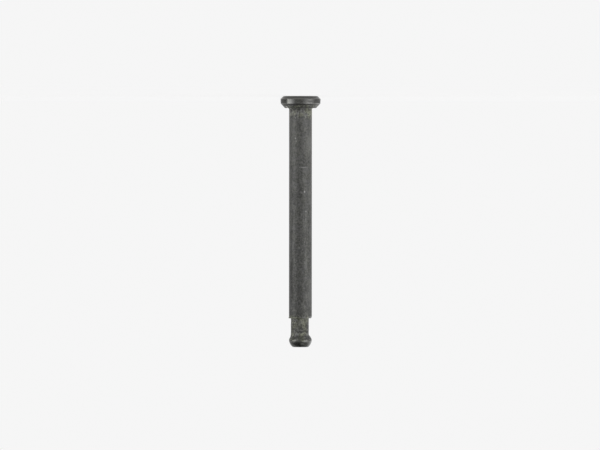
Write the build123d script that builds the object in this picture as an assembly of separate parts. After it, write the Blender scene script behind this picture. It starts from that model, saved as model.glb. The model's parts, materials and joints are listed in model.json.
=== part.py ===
from build123d import *
import math
import os

# A headed pivot pin, turned in one piece from steel bar.
# It stands on its head: the head face lies on Z = 0 and the pin rises along +Z through the
# shank and the neck to the rounded bead at its free end. All sizes are in millimetres.

# Shank: the plain bearing length that the pivoting lever turns on.
SHANK_DIAMETER = 2.8
SHANK_LENGTH = 25.68
SHOULDER_BREAK = 0.07

# Head: a thin disc that stops the pin in its bore. Its face has a broken edge, then comes a
# straight rim, and a bevel leads back to the flat ring that seats around the bore.
HEAD_DIAMETER = 4.9
HEAD_THICKNESS = 1.48
FACE_BREAK_WIDTH = 0.38
FACE_BREAK_HEIGHT = 0.34
RIM_LENGTH = 0.59
SEAT_WIDTH = 0.5
SEAT_FILLET = 0.15

# Neck: the groove between the shank's shoulder and the bead, where a spring clip sits.
NECK_DEPTH = 0.3
NECK_LENGTH = 2.0
NECK_ROOT_RADIUS = 0.06
NECK_BLEND_RADIUS = 0.4

# Bead: the rounded end that keeps the clip on, and is just small enough to pass the shank's
# own bore. Its outline runs from the neck up a straight flank, over a small round crown, and
# along a larger nose arc to the flat end face.
BEAD_CLEARANCE = 0.015
FLANK_ANGLE = 28.0
CROWN_RADIUS = 0.3
NOSE_LENGTH = 0.9
NOSE_DROP = 0.435
NOSE_CORNER_RADIUS = 0.2

shank_radius = SHANK_DIAMETER / 2
neck_radius = shank_radius - NECK_DEPTH
bead_radius = shank_radius - BEAD_CLEARANCE
shoulder_height = HEAD_THICKNESS + SHANK_LENGTH
neck_end_height = shoulder_height + NECK_LENGTH


def head_points():
    """Places the head's corners, each as a radius and a height, from its face to its seat."""
    head_radius = HEAD_DIAMETER / 2
    return [
        (head_radius - FACE_BREAK_WIDTH, 0),
        (head_radius, FACE_BREAK_HEIGHT),
        (head_radius, FACE_BREAK_HEIGHT + RIM_LENGTH),
        (shank_radius + SEAT_WIDTH, HEAD_THICKNESS),
    ]


def bead_points():
    """Places the flank's top, the bead's widest point and the edge of its end face."""
    flank_angle = math.radians(FLANK_ANGLE)
    flank_top_radius = bead_radius - CROWN_RADIUS * (1 - math.cos(flank_angle))
    flank_height = (flank_top_radius - neck_radius) / math.tan(flank_angle)
    flank_top_height = neck_end_height + flank_height
    widest_height = flank_top_height + CROWN_RADIUS * math.sin(flank_angle)
    return (
        (flank_top_radius, flank_top_height),
        (bead_radius, widest_height),
        (bead_radius - NOSE_DROP, widest_height + NOSE_LENGTH),
    )


def half_section():
    """Draws half of the pin's lengthwise section, from the axis out to its surface."""
    seat_corner = (shank_radius, HEAD_THICKNESS)
    shoulder_edge = (shank_radius, shoulder_height)
    neck_root = (neck_radius, shoulder_height)
    neck_end = (neck_radius, neck_end_height)
    flank_top, widest, nose_edge = bead_points()
    face_centre = (0, 0)
    end_centre = (0, nose_edge[1])

    with BuildSketch(Plane.XZ) as section:
        with BuildLine():
            Polyline(
                face_centre,
                *head_points(),
                seat_corner,
                shoulder_edge,
                neck_root,
                neck_end,
                flank_top,
            )
            TangentArc(widest, flank_top, tangent=(0, -1))
            TangentArc(widest, nose_edge, tangent=(0, 1))
            Polyline(nose_edge, end_centre, face_centre)
        make_face()
        fillet(corner_at(section, seat_corner), SEAT_FILLET)
        fillet(corner_at(section, neck_root), NECK_ROOT_RADIUS)
        fillet(corner_at(section, neck_end), NECK_BLEND_RADIUS)
        fillet(corner_at(section, nose_edge), NOSE_CORNER_RADIUS)
        chamfer(corner_at(section, shoulder_edge), SHOULDER_BREAK)
    return section.sketch


def corner_at(section, point):
    """Finds the section's corner at a radius and height."""
    return section.vertices().sort_by_distance(point)[0]


def pivot_pin():
    """Turns the half section once round the pin's axis."""
    return revolve(half_section(), axis=Axis.Z)


os.makedirs("parts", exist_ok=True)
pin = pivot_pin()
pin.label = "pivot_pin"
export_step(pin, "parts/pivot_pin.step")
print(f"pivot_pin: {pin.bounding_box().size.Z:.2f} mm long, {pin.volume:.1f} cubic mm")
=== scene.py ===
# %% [markdown]
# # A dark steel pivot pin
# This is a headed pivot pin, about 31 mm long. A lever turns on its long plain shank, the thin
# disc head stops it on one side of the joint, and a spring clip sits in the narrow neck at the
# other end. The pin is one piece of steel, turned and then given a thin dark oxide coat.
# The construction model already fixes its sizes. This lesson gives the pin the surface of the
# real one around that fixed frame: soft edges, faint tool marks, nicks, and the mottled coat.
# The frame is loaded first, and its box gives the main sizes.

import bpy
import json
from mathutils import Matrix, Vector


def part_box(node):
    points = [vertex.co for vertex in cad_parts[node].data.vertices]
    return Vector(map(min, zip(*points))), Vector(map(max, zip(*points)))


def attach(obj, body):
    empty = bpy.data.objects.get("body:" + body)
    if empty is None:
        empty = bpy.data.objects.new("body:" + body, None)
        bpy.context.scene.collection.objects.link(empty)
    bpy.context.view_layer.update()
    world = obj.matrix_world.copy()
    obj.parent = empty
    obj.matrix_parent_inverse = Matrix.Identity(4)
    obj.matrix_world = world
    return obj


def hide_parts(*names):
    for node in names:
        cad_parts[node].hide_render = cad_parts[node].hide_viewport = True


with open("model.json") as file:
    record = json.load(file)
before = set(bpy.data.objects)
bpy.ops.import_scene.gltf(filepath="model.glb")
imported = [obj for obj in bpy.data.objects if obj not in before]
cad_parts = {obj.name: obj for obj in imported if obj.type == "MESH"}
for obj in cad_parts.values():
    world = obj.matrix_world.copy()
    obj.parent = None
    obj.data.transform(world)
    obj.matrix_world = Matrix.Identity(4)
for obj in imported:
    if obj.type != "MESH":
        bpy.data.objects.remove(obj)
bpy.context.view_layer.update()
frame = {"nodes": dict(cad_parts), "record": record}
low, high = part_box("pivot_pin")
print(f"the frame holds {sorted(frame['nodes'])}, {high.z * 1000:.2f} mm high")

# %% [markdown]
# ## Sizes
# Blender works in metres here, and a pin is small, so one name, MM, keeps the numbers readable.
# The main sizes are read from the frame: the pin's length and head from its box, and the shank,
# the seat behind the head and the neck from the interfaces that the record states. Only the
# small shapes that no interface needs, such as the bevels, are named here.

# %% Read the main sizes
import json
import math

import bmesh
import bpy
from mathutils import Vector, noise

MM = 0.001
mounts = {mount["name"]: mount for mount in frame["record"]["mounts"]}
shank_radius = mounts["shank"]["dims"]["r_mm"] * MM
neck_radius = mounts["clip_groove"]["dims"]["r_mm"] * MM
neck_length = mounts["clip_groove"]["dims"]["length_mm"] * MM
neck_middle = mounts["clip_groove"]["pos_m"][2]
seat_height = mounts["head_seat"]["pos_m"][2]
head_radius = high.x
pin_length = high.z
shoulder_height = neck_middle - neck_length / 2
neck_end = neck_middle + neck_length / 2
print(f"shank {shank_radius / MM:.2f} mm radius, neck {neck_radius / MM:.2f} mm radius")

# %% [markdown]
# ## The outline
# Everything on this pin is round, so its shape is one outline, turned about the axis. It could
# be built from stacked cylinders, but then the fillets between them would be missing. A single
# outline gives every step, bevel and curve at once, as the lathe tool does on the real pin.
# The pen starts in the middle of the head's face. Each straight stroke extrudes the last
# vertex and moves the new one to its place, given as a radius and a height. The rim has a
# hair of taper, as a rim that was formed in a die has, and so it shines over its whole height.

# %% Draw the head and the shank
FACE_BREAK_WIDTH = 0.38 * MM
FACE_BREAK_HEIGHT = 0.34 * MM
RIM_LENGTH = 0.59 * MM
SEAT_WIDTH = 0.5 * MM
RIM_TAPER = 0.03 * MM


def stroke(outline, last, radius, height):
    """Draws a straight stroke from the last vertex to a radius and a height."""
    made = bmesh.ops.extrude_vert_indiv(outline, verts=[last])
    tip = made["verts"][0]
    bmesh.ops.translate(outline, verts=[tip], vec=Vector((radius, 0, height)) - tip.co)
    return tip


outline = bmesh.new()
face_centre = outline.verts.new((0, 0, low.z))
rim_end_height = FACE_BREAK_HEIGHT + RIM_LENGTH
face_edge = stroke(outline, face_centre, head_radius - FACE_BREAK_WIDTH, low.z)
rim_start = stroke(outline, face_edge, head_radius, FACE_BREAK_HEIGHT)
rim_end = stroke(outline, rim_start, head_radius - RIM_TAPER, rim_end_height)
seat_edge = stroke(outline, rim_end, shank_radius + SEAT_WIDTH, seat_height)
seat_corner = stroke(outline, seat_edge, shank_radius, seat_height)
shoulder_edge = stroke(outline, seat_corner, shank_radius, shoulder_height)
neck_root = stroke(outline, shoulder_edge, neck_radius, shoulder_height)
neck_blend = stroke(outline, neck_root, neck_radius, neck_end)
print(f"the straight outline has {len(outline.verts)} points")

# %% [markdown]
# ## The bead
# The free end is a bead that the clip snaps over. Its flank rises straight out of the neck, a
# small round crown follows, and a larger arc leads to the flat end face. An arc could be a row
# of hand-placed points, but spin turns the last vertex about the arc's own centre, so the arc
# is exactly round and starts just where the straight stroke ended.

# %% Draw the bead
BEAD_CLEARANCE = 0.015 * MM
FLANK_ANGLE = math.radians(28)
CROWN_RADIUS = 0.3 * MM
NOSE_LENGTH = 0.9 * MM
NOSE_DROP = 0.435 * MM
TOWARDS_END = (0, -1, 0)


def swing(outline, last, centre_radius, centre_height, angle, steps):
    """Swings the last vertex towards the free end, about a centre in the outline's plane."""
    made = bmesh.ops.spin(
        outline,
        geom=[last],
        cent=(centre_radius, 0, centre_height),
        axis=TOWARDS_END,
        dvec=(0, 0, 0),
        angle=angle,
        steps=steps,
        use_merge=False,
        use_duplicate=False,
    )
    return made["geom_last"][0]


bead_radius = shank_radius - BEAD_CLEARANCE
widest_height = pin_length - NOSE_LENGTH
nose_radius = (NOSE_LENGTH**2 + NOSE_DROP**2) / (2 * NOSE_DROP)
nose_angle = math.asin(NOSE_LENGTH / nose_radius)
flank_top_radius = bead_radius - CROWN_RADIUS * (1 - math.cos(FLANK_ANGLE))
flank_top_height = widest_height - CROWN_RADIUS * math.sin(FLANK_ANGLE)
flank_top = stroke(outline, neck_blend, flank_top_radius, flank_top_height)
crown_centre = bead_radius - CROWN_RADIUS
widest = swing(outline, flank_top, crown_centre, widest_height, FLANK_ANGLE, steps=4)
nose_centre = bead_radius - nose_radius
nose_edge = swing(outline, widest, nose_centre, widest_height, nose_angle, steps=12)
end_centre = stroke(outline, nose_edge, 0, pin_length)
print(f"the bead's nose is an arc of {nose_radius / MM:.2f} mm radius")

# %% [markdown]
# ## Soft corners
# No turned corner is razor sharp. The tool's tip leaves a small radius inside each step, and
# handling and the coating bath break the outer edges. The vertex form of bevel rounds a corner
# of the outline before it is turned, which costs only a few points, where rounding the edges
# of the finished solid would have to work on every facet of a ring.

# %% Round the corners of the outline
CORNER_ROUNDINGS = {
    face_edge: 0.07 * MM,
    rim_start: 0.03 * MM,
    rim_end: 0.02 * MM,
    seat_edge: 0.05 * MM,
    seat_corner: 0.15 * MM,
    shoulder_edge: 0.07 * MM,
    neck_root: 0.06 * MM,
    neck_blend: 0.1 * MM,
    nose_edge: 0.07 * MM,
}
for corner, rounding in CORNER_ROUNDINGS.items():
    bmesh.ops.bevel(
        outline,
        geom=[corner],
        offset=rounding,
        offset_type="OFFSET",
        segments=4,
        profile=0.5,
        affect="VERTICES",
        material=-1,
    )
print(f"the rounded outline has {len(outline.verts)} points")

# %% [markdown]
# ## Turning the pin
# The marks on the real surface are only about 0.1 mm wide, so the mesh needs points that close
# together. Long strokes of the outline are divided first. Then spin turns the outline once
# round the axis, and its ends, which lie on the axis, are merged into one pole each. A spin
# can turn a shape inside out, so the normals are recalculated after the merge.

# %% Turn the outline about the axis
RING_SPACING = 0.078 * MM
TURN_STEPS = 192
MERGE_DISTANCE = 0.0001 * MM

for edge in outline.edges[:]:
    cuts = math.floor(edge.calc_length() / RING_SPACING)
    if cuts > 0:
        bmesh.ops.subdivide_edges(outline, edges=[edge], cuts=cuts)
bmesh.ops.spin(
    outline,
    geom=outline.verts[:] + outline.edges[:],
    cent=(0, 0, 0),
    axis=(0, 0, 1),
    dvec=(0, 0, 0),
    angle=math.tau,
    steps=TURN_STEPS,
    use_merge=True,
    use_duplicate=False,
)
bmesh.ops.remove_doubles(outline, verts=outline.verts, dist=MERGE_DISTANCE)
bmesh.ops.recalc_face_normals(outline, faces=outline.faces)
turned_pin = outline
open_edges = sum(1 for edge in turned_pin.edges if not edge.is_manifold)
print(f"the turned pin has {len(turned_pin.faces)} faces and {open_edges} open edges")

# %% [markdown]
# ## Where each finish lies
# The shank is drawn bar with faint lines along it. The rim of the head and the bead were cut
# with a fine tool and rubbed smooth, so they shine a little and carry fine rings. The back of
# the head and the neck are rougher, with a thick, olive and mottled coat. A soft step between
# two heights describes such a zone, and it serves the shape and the material alike.

# %% Describe the zones along the pin
DRAWN_START = seat_height + 1.2 * MM
DRAWN_END = shoulder_height - 0.1 * MM
DRAWN_FADE = 0.6 * MM
RUBBED_FADE = 0.12 * MM
BEAD_SMOOTHNESS = 0.90
COLLAR_START = rim_end_height + 0.08 * MM
COLLAR_FULL = rim_end_height + 0.25 * MM
COLLAR_THINS = seat_height + 0.9 * MM
COLLAR_END = seat_height + 1.4 * MM
NECK_OLIVE = 0.72
NECK_OLIVE_START = shoulder_height - 0.2 * MM
NECK_OLIVE_FADE = 0.3 * MM


def soft_step(value, start, end):
    """Rises smoothly from 0 at the start to 1 at the end."""
    share = min(max((value - start) / (end - start), 0.0), 1.0)
    return share * share * (3 - 2 * share)


def between(value, start, end, fade):
    """Is 1 between two values and fades out over a short distance on both sides."""
    return soft_step(value, start - fade, start) * (1 - soft_step(value, end, end + fade))


def drawn_share(height):
    """Is 1 on the drawn shank, with its lines along the pin."""
    return between(height, DRAWN_START, DRAWN_END, DRAWN_FADE)


def smooth_share(height):
    """Is 1 on the rubbed rim of the head and a little less on the bead."""
    rim = 1 - soft_step(height, rim_end_height, rim_end_height + RUBBED_FADE)
    bead = BEAD_SMOOTHNESS * soft_step(height, flank_top_height, widest_height)
    return max(rim, bead)


def olive_share(height, uneven):
    """Is 1 where the coat is thick and olive: behind the head and on the neck."""
    behind_rim = soft_step(height, COLLAR_START, COLLAR_FULL)
    collar = behind_rim * (1 - soft_step(uneven, COLLAR_THINS, COLLAR_END))
    neck = between(uneven, NECK_OLIVE_START, flank_top_height, NECK_OLIVE_FADE)
    return max(collar, NECK_OLIVE * neck)


print(f"drawn halfway up: {drawn_share(pin_length / 2):.1f}")
print(f"smooth at the bead's end: {smooth_share(pin_length):.1f}")
print(f"olive on the neck: {olive_share(neck_middle, neck_middle):.1f}")

# %% [markdown]
# ## Marks in the steel
# The surface is not smooth: it has faint lines, a slightly lumpy coat, and some nicks and
# short scratches with bare metal in them. Bump in a material could paint all of this, but then
# the outline would stay perfect and the model would lose its marks. So the points themselves
# move. These marks only go inwards, and the pin never grows out of its true size.
# Noise from mathutils gives the same result each run. Stretching the place that it reads
# gives lines along the pin, and reading only the radius and the height gives rings.

# %% Work out how deep each point lies
LINE_WIDTH = 0.16 * MM
LINE_LENGTH = 20 * LINE_WIDTH
LINE_DEPTH = 0.003 * MM
RING_WIDTH = 0.11 * MM
RING_DEPTH = 0.004 * MM
RING_SLICE = 7.0
LUMP_WIDTH = 0.42 * MM
LUMP_DEPTH = 0.006 * MM
LUMPS_RUBBED_OFF = 0.8
EXTRA_OLIVE_LUMPS = 1.0


def half_noise(x, y, z):
    """Gives smooth noise between 0 and 1."""
    return 0.5 + 0.5 * noise.noise(Vector((x, y, z)))


def grain_depth(place):
    """Gives the depth of lines, rings and lumps at a point of the surface."""
    drawn = drawn_share(place.z)
    smooth = smooth_share(place.z)
    radius = math.hypot(place.x, place.y)
    lines = half_noise(place.x / LINE_WIDTH, place.y / LINE_WIDTH, place.z / LINE_LENGTH)
    rings = half_noise(radius / RING_WIDTH, RING_SLICE, place.z / RING_WIDTH)
    lumps = half_noise(place.x / LUMP_WIDTH, place.y / LUMP_WIDTH, place.z / LUMP_WIDTH)
    tool_marks = drawn * LINE_DEPTH * lines + smooth * RING_DEPTH * rings
    thickness = 1 - LUMPS_RUBBED_OFF * smooth
    thickness += EXTRA_OLIVE_LUMPS * olive_share(place.z, place.z)
    return tool_marks + thickness * LUMP_DEPTH * lumps


halfway_up = Vector((shank_radius, 0, pin_length / 2))
print(f"halfway up the shank the grain is {grain_depth(halfway_up) / MM:.4f} mm deep")

# %% [markdown]
# ## Nicks and scratches
# The photograph shows a handful of small bright marks. Each is a nick or scratch, whose bare
# steel also paints a glint in the light bands. Each is described by where it is: the angle round
# the pin from the side that faces the camera, its height, half its length round the pin, half its
# length along it, its depth, and how far the coat is rubbed off. They are listed one by one,
# because they are what makes this pin this pin. One nick lies on the edge of the seat behind the
# head and is fully bare there, a painted glint where it catches the light. The last four are on
# the sides that don't show in the photograph, and they keep those sides from looking new.

# %% List the marks
MARKS = [
    # angle in degrees, height, half length round the pin, half length along it, depth, bareness
    # Fully bare nick on the seat's edge: a painted glint.
    (57, 1.40 * MM, 0.26 * MM, 0.20 * MM, 0.030 * MM, 1.0),
    (26, 2.66 * MM, 0.11 * MM, 0.12 * MM, 0.008 * MM, 0.4),
    (27, 5.16 * MM, 0.12 * MM, 0.13 * MM, 0.012 * MM, 0.45),
    (22, 5.50 * MM, 0.08 * MM, 0.08 * MM, 0.010 * MM, 0.6),
    (-12, 8.74 * MM, 0.85 * MM, 0.06 * MM, 0.004 * MM, 0.35),
    (-21, 11.70 * MM, 0.15 * MM, 0.09 * MM, 0.014 * MM, 0.8),
    (-8, 11.80 * MM, 0.40 * MM, 0.06 * MM, 0.005 * MM, 0.35),
    (-27, 14.11 * MM, 0.16 * MM, 0.09 * MM, 0.012 * MM, 0.7),
    (-28, 14.95 * MM, 0.05 * MM, 0.45 * MM, 0.004 * MM, 0.25),
    (38, 15.40 * MM, 0.05 * MM, 0.12 * MM, 0.009 * MM, 0.5),
    (36, 16.60 * MM, 0.05 * MM, 0.10 * MM, 0.009 * MM, 0.5),
    (-21, 17.80 * MM, 0.08 * MM, 0.06 * MM, 0.010 * MM, 0.6),
    (7, 18.50 * MM, 0.09 * MM, 0.08 * MM, 0.008 * MM, 0.5),
    (-23, 20.40 * MM, 0.06 * MM, 0.16 * MM, 0.008 * MM, 0.4),
    (28, 20.30 * MM, 0.06 * MM, 0.12 * MM, 0.008 * MM, 0.4),
    (-31, 26.60 * MM, 0.07 * MM, 0.10 * MM, 0.008 * MM, 0.5),
    (118, 7.30 * MM, 0.09 * MM, 0.07 * MM, 0.012 * MM, 0.6),
    (163, 13.20 * MM, 0.50 * MM, 0.03 * MM, 0.005 * MM, 0.3),
    (-140, 19.10 * MM, 0.08 * MM, 0.10 * MM, 0.010 * MM, 0.6),
    (-95, 23.40 * MM, 0.06 * MM, 0.08 * MM, 0.010 * MM, 0.5),
]
RAGGED_WIDTH = 0.2 * MM
RAGGED_START = 0.20
RAGGED_END = 0.52
MARK_CORE = 0.35


def mark_strength(place, angle, height, half_round, half_along):
    """Is up to 1 inside a mark, with ragged edges and gaps, and 0 outside it."""
    radius = math.hypot(place.x, place.y)
    turn = math.atan2(place.x, -place.y) - math.radians(angle)
    turn = (turn + math.pi) % math.tau - math.pi
    across = radius * turn / half_round
    along = (place.z - height) / half_along
    ragged = soft_step(half_noise(*(place / RAGGED_WIDTH)), RAGGED_START, RAGGED_END)
    return ragged * (1 - soft_step(math.hypot(across, along), MARK_CORE, 1.0))


print(f"{len(MARKS)} marks, the deepest {max(mark[4] for mark in MARKS) / MM:.3f} mm")

# %% [markdown]
# ## Patches in the coat
# The coat also has larger patches, where it took a little thicker or has been rubbed by use. Two
# dark ones just under the head are painted shade of the head, and a light one on the bead's nose
# is a painted reflection.
# They have no depth to speak of, so they only change the tone. Painting them on an image would
# work too, but a list of soft round patches needs no image and stays sharp at any distance.
# The clearest ones on the side that faces the camera are listed like the marks, and noise makes
# all the others.

# %% List the patches
PATCHES = [
    # angle in degrees, height, half length round the pin, half length along it, lightness
    (-29, 0.60 * MM, 0.50 * MM, 0.15 * MM, -1.6),
    (16, 0.67 * MM, 0.35 * MM, 0.30 * MM, 0.7),
    # Painted shade under the head.
    (-40, 1.62 * MM, 0.60 * MM, 0.35 * MM, -1.3),
    (17, 1.26 * MM, 0.50 * MM, 0.22 * MM, -0.9),
    # Painted shade under the head.
    (46, 1.75 * MM, 0.45 * MM, 0.35 * MM, -1.5),
    (4, 1.77 * MM, 0.35 * MM, 0.30 * MM, 1.4),
    (-52, 2.25 * MM, 0.45 * MM, 0.35 * MM, 1.2),
    (0, 3.10 * MM, 0.30 * MM, 0.35 * MM, 0.9),
    (-52, 5.80 * MM, 0.70 * MM, 1.50 * MM, 1.3),
    (-26, 7.60 * MM, 0.45 * MM, 0.80 * MM, -0.8),
    (-44, 8.50 * MM, 0.35 * MM, 0.40 * MM, 0.8),
    (0, 9.70 * MM, 0.60 * MM, 0.40 * MM, -0.7),
    (-5, 11.80 * MM, 0.45 * MM, 0.90 * MM, -0.7),
    (32, 12.40 * MM, 0.50 * MM, 1.10 * MM, -0.7),
    (-55, 12.30 * MM, 0.50 * MM, 1.10 * MM, 0.9),
    (42, 14.30 * MM, 0.30 * MM, 0.45 * MM, -0.9),
    (10, 15.10 * MM, 0.40 * MM, 0.60 * MM, 0.8),
    (-20, 15.60 * MM, 0.35 * MM, 0.60 * MM, 0.8),
    (28, 18.80 * MM, 0.35 * MM, 1.20 * MM, -0.5),
    (-29, 20.90 * MM, 0.35 * MM, 3.00 * MM, 0.5),
    (40, 21.70 * MM, 0.35 * MM, 0.80 * MM, 0.6),
    (46, 22.30 * MM, 0.70 * MM, 3.60 * MM, -0.7),
    (-52, 23.80 * MM, 0.70 * MM, 3.20 * MM, 1.0),
    (-15, 25.50 * MM, 0.40 * MM, 0.60 * MM, 0.9),
    (28, 25.50 * MM, 0.40 * MM, 0.60 * MM, -0.6),
    (-41, 26.80 * MM, 0.22 * MM, 0.40 * MM, 1.5),
    (14, 26.90 * MM, 0.75 * MM, 0.22 * MM, -1.1),
    (-32, 27.90 * MM, 0.50 * MM, 0.50 * MM, 1.2),
    (-27, 28.64 * MM, 0.25 * MM, 0.20 * MM, 1.2),
    (-34, 29.05 * MM, 0.30 * MM, 0.14 * MM, -1.2),
    # Painted reflection on the bead's nose.
    (-8, 30.20 * MM, 0.45 * MM, 0.28 * MM, 1.8),
]
PATCH_CORE = 0.3


def patch_lightness(place, uneven):
    """Adds up the patches at a point of the surface, with uneven borders."""
    radius = math.hypot(place.x, place.y)
    turn_here = math.atan2(place.x, -place.y)
    tone = 0.0
    for angle, height, half_round, half_along, patch_tone in PATCHES:
        along = (uneven - height) / half_along
        if abs(along) < 1:
            turn = (turn_here - math.radians(angle) + math.pi) % math.tau - math.pi
            distance = math.hypot(radius * turn / half_round, along)
            tone += patch_tone * (1 - soft_step(distance, PATCH_CORE, 1.0))
    return tone


print(f"{len(PATCHES)} patches, the lightest {max(patch[4] for patch in PATCHES):+.1f}")

# %% [markdown]
# ## Tones along the pin
# The pin isn't equally dark all along. Most bands here are painted light and shade: painted light
# on the edge and slope of the face, painted highlights at both ends of the rim, in a ring on the
# bevel, in a ring at the end of the neck and on the crown of the bead, and painted shade in a
# line behind the rim, on the bevel and at its end, in a line on the neck, on the bead's flank and
# on its nose. A ramp of colours along the height could hold this, but its stops are hard to read.
# Here each band has a name, its two borders, the distance over which it fades, and its lightness.
# Most bands run straight round the pin. Beside the head, on the neck and on the bead's flank
# some have an uneven border. Besides the bands, the whole coat gets a little darker from the
# head to the bead.

# %% List the tone bands
STRAIGHT_BANDS = {
    # start, end, fade, lightness
    # Painted light on the edge and the slope of the face.
    "edge of the face": (low.z, 0.06 * MM, 0.12 * MM, 2.0),
    "slope of the face": (0.16 * MM, 0.26 * MM, 0.05 * MM, 0.3),
    # Painted highlights at both ends of the rim.
    "rim start": (FACE_BREAK_HEIGHT - 0.08 * MM, FACE_BREAK_HEIGHT + 0.02 * MM, 0.04 * MM, 1.4),
    "rim end": (rim_end_height - 0.08 * MM, rim_end_height + 0.02 * MM, 0.03 * MM, 1.7),
    # Painted shade in a line behind the rim and on the bevel.
    "behind the rim": (rim_end_height + 0.07 * MM, rim_end_height + 0.16 * MM, 0.04 * MM, -2.0),
    "bevel": (rim_end_height + 0.16 * MM, seat_height, 0.05 * MM, -1.25),
    # Painted highlight in a ring on the bevel.
    "bevel ring": (rim_end_height + 0.28 * MM, rim_end_height + 0.38 * MM, 0.05 * MM, 1.4),
    # Painted shade at the bevel's end, in the corner before the seat.
    "bevel end": (seat_height - 0.15 * MM, seat_height - 0.06 * MM, 0.04 * MM, -1.0),
    "seat corner": (seat_height, seat_height + 0.12 * MM, 0.05 * MM, 0.2),
    "neck start": (shoulder_height - 0.1 * MM, shoulder_height + 0.5 * MM, 0.2 * MM, 1.6),
    # Painted shade in a line on the neck.
    "neck line": (neck_end - 0.42 * MM, neck_end - 0.25 * MM, 0.06 * MM, -0.8),
    # Painted highlight on the bead's crown.
    "crown": (widest_height - 0.02 * MM, widest_height + 0.2 * MM, 0.08 * MM, 1.4),
    # Painted shade on the bead's nose.
    "nose": (widest_height + 0.5 * MM, pin_length, 0.18 * MM, -0.5),
}
UNEVEN_BANDS = {
    # start, end, fade, lightness
    "collar": (seat_height + 0.4 * MM, seat_height + 0.8 * MM, 0.3 * MM, 1.7),
    "neck": (shoulder_height + 0.8 * MM, neck_end - 0.4 * MM, 0.2 * MM, 0.1),
    # Painted highlight in a ring at the neck's end.
    "neck ring": (neck_end - 0.22 * MM, neck_end + 0.04 * MM, 0.08 * MM, 2.4),
    # Painted shade on the bead's flank.
    "flank": (neck_end + 0.3 * MM, flank_top_height, 0.1 * MM, -1.1),
}
FADE_ALONG_PIN = 1.1


def painted_light_and_band_tone(height, uneven):
    """Adds up the bands: below 0 darker, above 0 lighter; most are painted light and shade."""
    tone = FADE_ALONG_PIN * (0.5 - height / pin_length)
    for start, end, fade, band_tone in STRAIGHT_BANDS.values():
        tone += band_tone * between(height, start, end, fade)
    for start, end, fade, band_tone in UNEVEN_BANDS.values():
        tone += band_tone * between(uneven, start, end, fade)
    return tone


print(f"{len(STRAIGHT_BANDS)} straight bands and {len(UNEVEN_BANDS)} uneven ones")

# %% [markdown]
# ## Pressing the marks in
# One pass over the points moves each along its own normal and writes four attributes that the
# material reads later: how bare the metal is, which also paints the marks' glints, how olive the
# coat is, how smooth the surface is, and how light the coat is, with the painted highlights and
# painted shade of the bands and patches. The marks in the shape and in the colour so stay
# together.
# For the uneven borders the height is shifted up and down by a slow noise before it is looked
# up. The neck of the real pin is a little wavy and sits a little off the axis, so its points
# are also moved in and out by a slow noise, and sideways. It stays well inside the shank's
# outline.

# %% Move the points inwards
NECK_START = shoulder_height + 0.01 * MM
NECK_FADE = 0.25 * MM
NECK_OFFSET = 0.07 * MM
NECK_WAVE = 0.02 * MM
WAVE_WIDTH = 0.7 * MM
BORDER_SHIFT = 0.22 * MM
BORDER_WIDTH = 0.45 * MM


def neck_share(height):
    """Is 1 on the neck and fades out into the shoulder and the bead's flank."""
    return between(height, NECK_START, neck_end, NECK_FADE)


bare = turned_pin.verts.layers.float.new("bare")
olive = turned_pin.verts.layers.float.new("olive")
smooth = turned_pin.verts.layers.float.new("smooth")
lightness = turned_pin.verts.layers.float.new("lightness")
turned_pin.normal_update()
inwards = [-vert.normal.copy() for vert in turned_pin.verts]
for vert, inward in zip(turned_pin.verts, inwards):
    place = vert.co.copy()
    depth = grain_depth(place)
    for angle, height, half_round, half_along, mark_depth, bareness in MARKS:
        if abs(place.z - height) < half_along:
            strength = mark_strength(place, angle, height, half_round, half_along)
            depth += mark_depth * strength
            vert[bare] = max(vert[bare], bareness * strength)
    uneven = place.z + BORDER_SHIFT * (2 * half_noise(*(place / BORDER_WIDTH)) - 1)
    vert[olive] = olive_share(place.z, uneven)
    vert[smooth] = smooth_share(place.z)
    vert[lightness] = painted_light_and_band_tone(place.z, uneven) + patch_lightness(place, uneven)
    wave = NECK_WAVE * (2 * half_noise(*(place / WAVE_WIDTH)) - 1)
    vert.co = place + inward * (depth + wave * neck_share(place.z))
    vert.co.x += NECK_OFFSET * neck_share(place.z)
print(f"moved {len(turned_pin.verts)} points inwards")

# %% [markdown]
# ## From shape to object
# So far the pin is only a shape in memory. It becomes a mesh, and the mesh becomes an object
# that lies unturned at the origin. Smooth shading blends the small faces into one surface.
# Flat shading would show all 192 steps of the turn as narrow stripes.

# %% Make the piece
def make_piece(name, shape):
    """Turns a finished shape into a smooth object at the origin."""
    mesh = bpy.data.meshes.new(name)
    shape.to_mesh(mesh)
    shape.free()
    mesh.shade_smooth()
    piece = bpy.data.objects.new(name, mesh)
    bpy.context.scene.collection.objects.link(piece)
    return piece


pin = make_piece("turned_pivot_pin", turned_pin)
print(f"{pin.name} has {len(pin.data.polygons)} faces")

# %% [markdown]
# ## The dark coat
# Black oxide is a thin dark skin on steel. It is not one flat grey: it is mottled, lighter and
# darker in patches of a few tenths of a millimetre, streaked along the drawn shank, and olive
# where it is thick. One colour with bump would look like plastic, so three noises of different
# size mix a dark and a light tone. The attributes from the mesh then add the olive tint and
# the bare marks. That takes many nodes of a few kinds. Written out one by one they would hide
# the recipe, so short helpers add a node, link it and give back its output.

# %% Helpers that calculate with values
def add_node(tree, kind, **settings):
    """Adds a node and sets its properties."""
    node = tree.nodes.new(kind)
    for name, value in settings.items():
        setattr(node, name, value)
    return node


def stretch(tree, value, start, end, low_value, high_value):
    """Maps a value from one range to another and keeps it inside."""
    stretcher = add_node(tree, "ShaderNodeMapRange")
    stretcher.inputs["From Min"].default_value = start
    stretcher.inputs["From Max"].default_value = end
    stretcher.inputs["To Min"].default_value = low_value
    stretcher.inputs["To Max"].default_value = high_value
    tree.links.new(value, stretcher.inputs["Value"])
    return stretcher.outputs["Result"]


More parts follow.
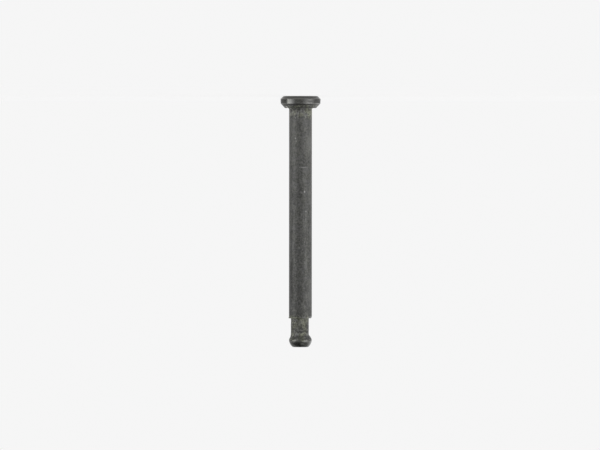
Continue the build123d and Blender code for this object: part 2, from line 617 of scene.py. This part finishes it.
def combine(tree, operation, first, second=0.0):
    """Combines two values, or a value and a number, with a Math node."""
    math_node = add_node(tree, "ShaderNodeMath", operation=operation)
    tree.links.new(first, math_node.inputs[0])
    if isinstance(second, (int, float)):
        math_node.inputs[1].default_value = second
    else:
        tree.links.new(second, math_node.inputs[1])
    return math_node.outputs["Value"]


def read_attribute(tree, name):
    """Reads one of the piece's own attributes."""
    reader = add_node(tree, "ShaderNodeAttribute", attribute_name=name)
    return reader.outputs["Fac"]


print("values can be read, stretched and combined")

# %% [markdown]
# ## The tone of the coat
# Three noises are added: soft patches, fine grains and, on the drawn shank, streaks along the
# pin. The contrast is low on the rubbed rim and bead and high where the coat is thick and
# olive. The lightness that was written on the points is added last. The sum is then stretched
# to a share between 0 and 1. A colour ramp could do that too, but two numbers say it plainly.

# %% Mix the coat's tone
PATCH_WEIGHT = 0.6
GRAIN_WEIGHT = 3.0
MOTTLE_MIDDLE = 0.5 * (PATCH_WEIGHT + GRAIN_WEIGHT)
STREAK_WEIGHT = 0.4
STREAK_MIDDLE = 0.5
RUBBED_CONTRAST = 0.5
OLIVE_CONTRAST = 2.0
LIGHTNESS_WEIGHT = 0.3
DARKEST_SUM = -0.40
LIGHTEST_SUM = 1.50


def mix_tone(tree, grains, patches, streaks, olive, smooth):
    """Adds up the noises and the lightness of the points to a share between 0 and 1."""
    grainy = combine(tree, "MULTIPLY", grains, GRAIN_WEIGHT)
    mottle = combine(tree, "ADD", combine(tree, "MULTIPLY", patches, PATCH_WEIGHT), grainy)
    mottle = combine(tree, "SUBTRACT", mottle, MOTTLE_MIDDLE)
    contrast = stretch(tree, smooth, 0.0, 1.0, 1.0, RUBBED_CONTRAST)
    more = combine(tree, "MULTIPLY", olive, OLIVE_CONTRAST)
    mottle = combine(tree, "MULTIPLY", mottle, combine(tree, "ADD", contrast, more))
    covered = combine(tree, "MAXIMUM", olive, smooth)
    drawn = stretch(tree, covered, 0.0, 1.0, STREAK_WEIGHT, 0.0)
    streaky = combine(tree, "SUBTRACT", streaks, STREAK_MIDDLE)
    mottle = combine(tree, "ADD", mottle, combine(tree, "MULTIPLY", streaky, drawn))
    lightness = combine(tree, "MULTIPLY", read_attribute(tree, "lightness"), LIGHTNESS_WEIGHT)
    total = combine(tree, "ADD", mottle, lightness)
    return stretch(tree, total, DARKEST_SUM, LIGHTEST_SUM, 0.0, 1.0)


print("the tone mixes patches, grains and streaks")

# %% [markdown]
# ## The colour of the coat
# The colours are linear values of how much light the surface sends back. The tone mixes a dark
# and a light grey. The olive tint is multiplied in, in patches of its own, and last comes the
# bare steel of the nicks, which also paints their glints. Mixing in this order lets a nick shine
# through any tint.

# %% Helpers that mix colours
def blend_colours(tree, share, first, second, blend_type="MIX"):
    """Mixes two colours; each is a colour or another node's output."""
    mixer = add_node(tree, "ShaderNodeMix", data_type="RGBA", blend_type=blend_type)
    tree.links.new(share, mixer.inputs["Factor"])
    for socket, colour in (("A", first), ("B", second)):
        target = [s for s in mixer.inputs if s.name == socket and s.type == "RGBA"][0]
        if isinstance(colour, tuple):
            target.default_value = (*colour, 1)
        else:
            tree.links.new(colour, target)
    return [s for s in mixer.outputs if s.type == "RGBA"][0]


def tint_colours(tree, share, colour, tint):
    """Multiplies a colour by a tint, by the given share."""
    return blend_colours(tree, share, colour, tint, blend_type="MULTIPLY")


print("colours can be mixed and tinted")

# %% Colour the coat
COAT_DARK = (0.040, 0.040, 0.0388)
COAT_LIGHT = (0.244, 0.244, 0.239)
OLIVE_TINT = (1.02, 1.05, 0.77)
# Bare steel of the nicks, which also paints their glints.
BARE_STEEL_AND_GLINT = (0.50, 0.50, 0.49)
FULL_OLIVE = 0.8
SHANK_TINT = 0.2
OLIVE_PATCH_TINT = 0.9
TINT_PATCH_START = 0.38
TINT_PATCH_FULL = 0.60
FAINTEST_TINT = 0.1


def colour_coat(tree, tone, tint_patches, olive):
    """Turns the tone into grey, tints it olive and adds the bare marks, which also paint glints.
    """
    coat = blend_colours(tree, tone, COAT_DARK, COAT_LIGHT)
    tint_share = stretch(tree, olive, 0.0, FULL_OLIVE, SHANK_TINT, OLIVE_PATCH_TINT)
    patchy = stretch(tree, tint_patches, TINT_PATCH_START, TINT_PATCH_FULL, FAINTEST_TINT, 1.0)
    coat = tint_colours(tree, combine(tree, "MULTIPLY", tint_share, patchy), coat, OLIVE_TINT)
    return blend_colours(tree, read_attribute(tree, "bare"), coat, BARE_STEEL_AND_GLINT)


print(f"the coat's grey lies between {COAT_DARK[0]:.2f} and {COAT_LIGHT[0]:.2f}")

# %% [markdown]
# ## The patterns of the coat
# The noises are read at places on the pin. Object coordinates belong to the piece, so the
# patterns move with it. They are in metres, so a Mapping node scales them to millimetres. For
# the streaks it also shortens the way along the pin, which draws the noise out in that
# direction. A noise has a scale, a detail, which is how many finer layers are laid over it,
# and a roughness, which is how strong these are.

# %% Read the noises
STREAK_STRETCH = 0.12
NOISES = {
    # scale per millimetre, detail, roughness
    "patches": (1.5, 3.0, 0.6),
    "grains": (4.5, 5.0, 0.75),
    "streaks": (5.0, 3.0, 0.6),
    "tint patches": (1.4, 3.0, 0.5),
    "finest grain": (14.0, 2.0, 0.5),
}


def scale_places(tree, along_pin):
    """Gives Object coordinates in millimetres, stretched out along the pin by a share under 1."""
    coordinates = add_node(tree, "ShaderNodeTexCoord")
    mapping = add_node(tree, "ShaderNodeMapping")
    mapping.inputs["Scale"].default_value = (1 / MM, 1 / MM, along_pin / MM)
    tree.links.new(coordinates.outputs["Object"], mapping.inputs["Vector"])
    return mapping.outputs["Vector"]


def noise_pattern(tree, places, scale, detail, roughness):
    """Adds a noise that reads the given places, with its scale per millimetre."""
    pattern = add_node(tree, "ShaderNodeTexNoise")
    pattern.inputs["Scale"].default_value = scale
    pattern.inputs["Detail"].default_value = detail
    pattern.inputs["Roughness"].default_value = roughness
    tree.links.new(places, pattern.inputs["Vector"])
    return pattern.outputs["Fac"]


print(f"{len(NOISES)} noises for the coat")

# %% [markdown]
# ## How the coat shines
# The coat is mostly metallic, because its dark film lets the steel below shine through. Where
# it is thick and olive it is less so, and rougher. The rubbed rim and bead are smoother than
# the drawn shank and catch the lamps more sharply. Black oxide is oiled to keep rust away, so a
# thin clear coat lies over it all and lightens the pin's edges. On the rubbed parts, where
# fingers take the oil off, it is thinner. The bump holds only the finest grain, a few
# thousandths of a millimetre, which would need millions of points.

# %% Make the dark oxide steel
METALLIC_SHARE = 0.88
OLIVE_METALLIC = 0.6
DRAWN_ROUGHNESS = 0.50
RUBBED_ROUGHNESS = 0.19
OLIVE_ROUGHER = 0.12
GRAIN_ROUGHER = 0.05
DARK_GRAIN = 0.3
LIGHT_GRAIN = 0.7
OIL_FILM = 0.3
RUBBED_OIL_FILM = 0.1
OIL_ROUGHNESS = 0.35
FINEST_GRAIN = 0.004 * MM


def make_dark_steel():
    """Builds the mottled dark oxide finish."""
    material = bpy.data.materials.new("dark_oxide_steel")
    material.use_nodes = True
    tree = material.node_tree
    shader = tree.nodes["Principled BSDF"]
    places = scale_places(tree, 1.0)
    drawn_places = scale_places(tree, STREAK_STRETCH)
    olive = read_attribute(tree, "olive")
    smooth = read_attribute(tree, "smooth")
    patches = noise_pattern(tree, places, *NOISES["patches"])
    grains = noise_pattern(tree, places, *NOISES["grains"])
    streaks = noise_pattern(tree, drawn_places, *NOISES["streaks"])
    tint_patches = noise_pattern(tree, places, *NOISES["tint patches"])
    finest = noise_pattern(tree, places, *NOISES["finest grain"])

    tone = mix_tone(tree, grains, patches, streaks, olive, smooth)
    tree.links.new(colour_coat(tree, tone, tint_patches, olive), shader.inputs["Base Color"])

    roughness = stretch(tree, smooth, 0.0, 1.0, DRAWN_ROUGHNESS, RUBBED_ROUGHNESS)
    roughness = combine(tree, "ADD", roughness, combine(tree, "MULTIPLY", olive, OLIVE_ROUGHER))
    grain_rougher = stretch(
        tree, grains, DARK_GRAIN, LIGHT_GRAIN, -GRAIN_ROUGHER, GRAIN_ROUGHER
    )
    tree.links.new(combine(tree, "ADD", roughness, grain_rougher), shader.inputs["Roughness"])
    metallic = stretch(tree, olive, 0.0, 1.0, METALLIC_SHARE, OLIVE_METALLIC)
    tree.links.new(metallic, shader.inputs["Metallic"])
    oil = stretch(tree, smooth, 0.0, 1.0, OIL_FILM, RUBBED_OIL_FILM)
    tree.links.new(oil, shader.inputs["Coat Weight"])
    shader.inputs["Coat Roughness"].default_value = OIL_ROUGHNESS

    bump = add_node(tree, "ShaderNodeBump")
    bump.inputs["Distance"].default_value = FINEST_GRAIN
    tree.links.new(finest, bump.inputs["Height"])
    tree.links.new(bump.outputs["Normal"], shader.inputs["Normal"])
    return material


pin.data.materials.append(make_dark_steel())
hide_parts("pivot_pin")
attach(pin, "root")
print(f"{pin.name} rides on root and replaces the plain solid")

# %% [markdown]
# ## The camera
# The photograph looks at the pin's side, with the head at the top. Here the pin stands on its
# head, so the camera looks along +Y and is rolled half a turn. In the photograph the pin lies
# on the rim of its wide head and on its small bead, so it tips a little and its head is nearer
# to the camera. A camera that stands low, just above the floor, sees the standing pin like
# that. The frame's width on the pin is a real length, and the lens follows from it.

# %% Place the camera
CAMERA_DISTANCE = 900 * MM
FRAME_WIDTH = 73.3 * MM
SENSOR_WIDTH = 36.0
CAMERA_SIDE = 0.065 * MM
CAMERA_HEIGHT = 4.0 * MM
AIM_HEIGHT = 15.757 * MM
CAMERA_ROLL = math.radians(0.04)

camera_data = bpy.data.cameras.new("camera")
camera_data.sensor_width = SENSOR_WIDTH
camera_data.lens = SENSOR_WIDTH * CAMERA_DISTANCE / FRAME_WIDTH
camera = bpy.data.objects.new("camera", camera_data)
camera.location = (CAMERA_SIDE, -CAMERA_DISTANCE, CAMERA_HEIGHT)
camera_tilt = math.atan((AIM_HEIGHT - CAMERA_HEIGHT) / CAMERA_DISTANCE)
camera.rotation_euler = (-math.pi / 2 - camera_tilt, CAMERA_ROLL, math.pi)
bpy.context.scene.collection.objects.link(camera)
bpy.context.scene.camera = camera
print(f"the lens is {camera_data.lens:.0f} mm long")

# %% [markdown]
# ## The floor
# The pin stands on a plain pale floor. Seen this low, a floor would end in a line where it
# meets the background. To avoid that line the floor turns, far from the pin, into the same
# pale light as the background, while the part near the pin is mostly a matt white that keeps
# the pin's shadow.

# %% Lay the floor
BACKGROUND_LEVEL = 0.92
PALE_COLOUR = (1.0, 1.0, 1.0)
FLOOR_COLOUR = (0.92, 0.92, 0.92)
FLOOR_RADIUS = 3.0
FADE_START = 40 * MM
FADE_END = 200 * MM
NEAR_GLOW = 0.4


def make_floor_material():
    """Builds a matt white that fades into the background's light away from the pin."""
    material = bpy.data.materials.new("pale_floor")
    material.use_nodes = True
    tree = material.node_tree
    tree.nodes.remove(tree.nodes["Principled BSDF"])
    matt = add_node(tree, "ShaderNodeBsdfDiffuse")
    matt.inputs["Color"].default_value = (*FLOOR_COLOUR, 1)
    glow = add_node(tree, "ShaderNodeEmission")
    glow.inputs["Color"].default_value = (*PALE_COLOUR, 1)
    glow.inputs["Strength"].default_value = BACKGROUND_LEVEL
    coordinates = add_node(tree, "ShaderNodeTexCoord").outputs["Object"]
    distance = add_node(tree, "ShaderNodeVectorMath", operation="LENGTH")
    tree.links.new(coordinates, distance.inputs[0])
    fade = add_node(tree, "ShaderNodeMapRange", interpolation_type="SMOOTHSTEP")
    fade.inputs["From Min"].default_value = FADE_START
    fade.inputs["From Max"].default_value = FADE_END
    fade.inputs["To Min"].default_value = NEAR_GLOW
    tree.links.new(distance.outputs["Value"], fade.inputs["Value"])
    mixed = add_node(tree, "ShaderNodeMixShader")
    tree.links.new(fade.outputs["Result"], mixed.inputs["Fac"])
    tree.links.new(matt.outputs["BSDF"], mixed.inputs[1])
    tree.links.new(glow.outputs["Emission"], mixed.inputs[2])
    tree.links.new(mixed.outputs["Shader"], tree.nodes["Material Output"].inputs["Surface"])
    return material


floor_shape = bmesh.new()
bmesh.ops.create_circle(floor_shape, cap_ends=True, segments=64, radius=FLOOR_RADIUS)
floor = make_piece("floor", floor_shape)
floor.data.materials.append(make_floor_material())
print(f"the floor is {2 * FLOOR_RADIUS:.0f} m across")

# %% [markdown]
# ## The light
# A dark metal mostly shows what it mirrors, so the long bands on the pin in the photograph tell
# how it was lit: a dark band down the middle and a lighter one on each side. It lay on a pale
# ground between a low, narrow, bright lamp on the left and a wider, weaker one on the right,
# with a dark room behind the camera and above. The wall and the ceiling on the right catch
# some of that lamp's light. Lamp objects could stand there, but each would leave its own
# shadow, and the dark room would be missing. Here one large tent glows around the pin instead.
# How it glows is described by two angles: the angle round the pin, from the camera's side, and
# the rise above the floor.

# %% Choose the studio's tones
LEFT_LAMP = 4.0
RIGHT_LAMP = 1.78
RIGHT_WALL = 0.95
RIGHT_CEILING = 0.6
WINDOWS = [
    # strength, four angles round the pin, four rises, in degrees: dark, full, full and dark
    (LEFT_LAMP, (34, 70, 82, 85), (0, 3, 9, 13)),
    (RIGHT_LAMP, (-100, -55, -46, -12), (-6, 2, 24, 32)),
    (RIGHT_WALL, (-165, -140, -110, -96), (2, 8, 30, 45)),
    (RIGHT_CEILING, (-110, -90, -20, 10), (30, 42, 60, 75)),
]


def window(tree, angle, outer_start, start, end, outer_end):
    """Is 1 between two angles in degrees and fades out towards the two outer ones."""
    rise = stretch(tree, angle, math.radians(outer_start), math.radians(start), 0.0, 1.0)
    fall = stretch(tree, angle, math.radians(end), math.radians(outer_end), 1.0, 0.0)
    return combine(tree, "MULTIPLY", rise, fall)


print(f"the studio has {len(WINDOWS)} bright windows")

# %% [markdown]
# ## The dark room around the pin
# Behind the pin the room is pale, and darker straight behind it, where the pin's own shade
# falls on the ground. On the camera's side it is dark, and the ceiling is darker still. The
# line where the ground ends is dark too, all round but for the camera's side. The depth in the
# next cell is 1 straight behind the pin, 0 beside it and -1 at the camera.

# %% Describe the room
DARK_CEILING = 0.18
DARK_ROOM = 0.42
GROUND_LINE = 0.35
CLOSE_SHADE = 0.35
BEHIND_STARTS = -0.05
BEHIND_FULL = 0.12
SHADE_STARTS = 0.60
SHADE_FULL = 0.95
DARK_SIDE = (-75, -35, 35, 75)
CEILING_STARTS = math.radians(24)
CEILING_FULL = math.radians(42)
GROUND_RISES = (-12, -4, 5, 12)
GROUND_FADE = 0.2


def studio_room(tree, depth, round_angle, rise_angle):
    """Gives the light of the room without its lamps."""
    behind = stretch(tree, depth, BEHIND_STARTS, BEHIND_FULL, 0.0, BACKGROUND_LEVEL)
    close_shade = stretch(tree, depth, SHADE_STARTS, SHADE_FULL, 1.0, CLOSE_SHADE)
    behind = combine(tree, "MULTIPLY", behind, close_shade)

    in_front = window(tree, round_angle, *DARK_SIDE)
    room = stretch(tree, in_front, 0.0, 1.0, BACKGROUND_LEVEL, DARK_ROOM)
    ceiling = stretch(tree, rise_angle, CEILING_STARTS, CEILING_FULL, 1.0, DARK_CEILING)
    room = combine(tree, "MAXIMUM", combine(tree, "MULTIPLY", room, ceiling), behind)

    aside = stretch(tree, in_front, 0.0, GROUND_FADE, 1.0, 0.0)
    ground = combine(tree, "MULTIPLY", window(tree, rise_angle, *GROUND_RISES), aside)
    return combine(tree, "MULTIPLY", room, stretch(tree, ground, 0.0, 1.0, 1.0, GROUND_LINE))


print(f"the room's darkest tone is {DARK_ROOM * DARK_CEILING:.2f}")

# %% [markdown]
# ## The tent
# The tent is a sphere, and each point of it glows with the light that comes from there: the
# room's and the lamps'. A point's place, brought to a length of 1, is its direction from the
# pin, and the two angles follow from that. The tent is metres wide, so it lights all of the
# floor near the pin alike. The camera doesn't see it, and it throws no shadow, so the lamp
# above still shines through.

# %% Put up the tent
TENT_RADIUS = 2.5


def make_tent_material():
    """Builds a glow that holds the room and its lamps."""
    material = bpy.data.materials.new("tent_light")
    material.use_nodes = True
    tree = material.node_tree
    tree.nodes.remove(tree.nodes["Principled BSDF"])
    coordinates = add_node(tree, "ShaderNodeTexCoord").outputs["Object"]
    direction = add_node(tree, "ShaderNodeVectorMath", operation="NORMALIZE")
    tree.links.new(coordinates, direction.inputs[0])
    parts = add_node(tree, "ShaderNodeSeparateXYZ")
    tree.links.new(direction.outputs["Vector"], parts.inputs["Vector"])
    depth = parts.outputs["Y"]
    towards_camera = combine(tree, "MULTIPLY", depth, -1.0)
    round_angle = combine(tree, "ARCTAN2", parts.outputs["X"], towards_camera)
    rise_angle = combine(tree, "ARCSINE", parts.outputs["Z"])

    studio = studio_room(tree, depth, round_angle, rise_angle)
    for strength, round_span, rise_span in WINDOWS:
        across = window(tree, round_angle, *round_span)
        lamp = combine(tree, "MULTIPLY", across, window(tree, rise_angle, *rise_span))
        studio = combine(tree, "ADD", studio, combine(tree, "MULTIPLY", lamp, strength))

    glow = add_node(tree, "ShaderNodeEmission")
    tree.links.new(studio, glow.inputs["Strength"])
    tree.links.new(glow.outputs["Emission"], tree.nodes["Material Output"].inputs["Surface"])
    return material


tent_shape = bmesh.new()
bmesh.ops.create_uvsphere(tent_shape, u_segments=48, v_segments=24, radius=TENT_RADIUS)
tent = make_piece("studio_tent", tent_shape)
tent.data.materials.append(make_tent_material())
tent.visible_camera = False
tent.visible_shadow = False
print(f"the tent is {2 * TENT_RADIUS:.0f} m across")

# %% [markdown]
# ## The pale world
# The world outside the tent is plain and pale, and the camera sees it as the background from
# every side. Light Path gives the same tone to reflections and to light that has passed
# through glass. Inside the tent a reflection meets the tent first, and behind the pin the tent
# has this tone too. To all other rays the world is dark, so it doesn't light the pin again.

# %% Make the world pale
def make_pale_world():
    """Builds a world that is pale to the camera, to reflections and through glass."""
    world = bpy.data.worlds.new("pale_world")
    world.use_nodes = True
    tree = world.node_tree
    rays = add_node(tree, "ShaderNodeLightPath").outputs
    mirrored = combine(tree, "MAXIMUM", rays["Is Glossy Ray"], rays["Is Transmission Ray"])
    seen = combine(tree, "MAXIMUM", rays["Is Camera Ray"], mirrored)
    background = tree.nodes["Background"]
    background.inputs["Color"].default_value = (*PALE_COLOUR, 1)
    strength = combine(tree, "MULTIPLY", seen, BACKGROUND_LEVEL)
    tree.links.new(strength, background.inputs["Strength"])
    return world


bpy.context.scene.world = make_pale_world()
print("the world is pale")

# %% [markdown]
# ## The lamp above
# The dark ceiling would leave the floor grey. One soft lamp overhead lights it and gives the
# pin its shadow. A sun does this best here, because it has no distance and so lights all of
# the floor alike. It is kept out of reflections, so the dark metal still mirrors the tent.

# %% Hang the lamp above
LAMP_STRENGTH = 1.2
LAMP_SPREAD = math.radians(70)

lamp_data = bpy.data.lights.new("lamp_above", "SUN")
lamp_data.energy = LAMP_STRENGTH
lamp_data.angle = LAMP_SPREAD
lamp_above = bpy.data.objects.new("lamp_above", lamp_data)
lamp_above.visible_glossy = False
bpy.context.scene.collection.objects.link(lamp_above)
print(f"{lamp_above.name} shines straight down")

# %% [markdown]
# ## The picture
# The Standard view shows colours as they are written, so the tones can be compared with the
# photograph.

# %% Finish
bpy.context.scene.view_settings.view_transform = "Standard"
